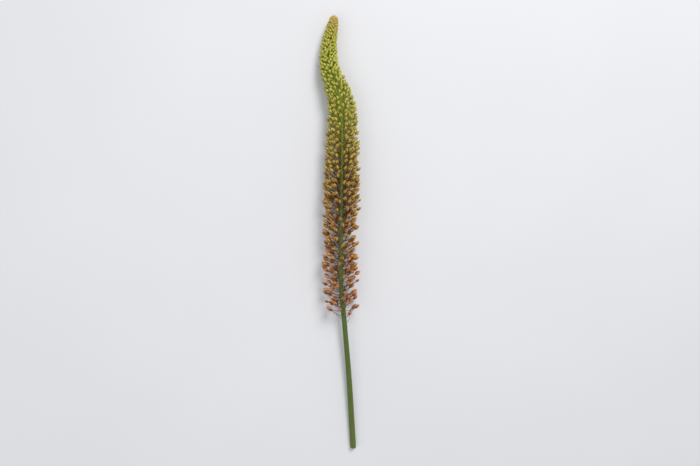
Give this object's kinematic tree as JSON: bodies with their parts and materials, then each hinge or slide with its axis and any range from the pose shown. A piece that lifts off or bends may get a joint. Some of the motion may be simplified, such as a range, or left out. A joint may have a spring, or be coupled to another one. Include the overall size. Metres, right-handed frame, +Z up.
{
  "type": "foxtail lily flower spike",
  "caption": "Cut foxtail lily flower spike in closed bud: a bare green stem and a long tapering raceme of stalked buds, copper to golden to green, lying on its side.",
  "frame": {"origin": "middle of the box in X and Y, on the surface the spike lies on", "axes": "+X runs from the cut end of the stem to the tip of the raceme, +Z up from the surface, +Y to the side the tip leans to"},
  "size_m": [0.8062, 0.0774, 0.0627],
  "materials": {
    "green_stem": "fresh smooth green stem, slightly waxy",
    "copper_buds": "satin copper-brown buds on dark stalks",
    "golden_buds": "satin golden-ochre buds on brown stalks",
    "green_buds": "satin yellow-green buds, tan at the tip"
  },
  "bodies": {
    "root": {"scape": "green_stem", "raceme_copper_buds": "copper_buds", "raceme_golden_buds": "golden_buds", "raceme_green_buds": "green_buds"}
  },
  "joints": []
}
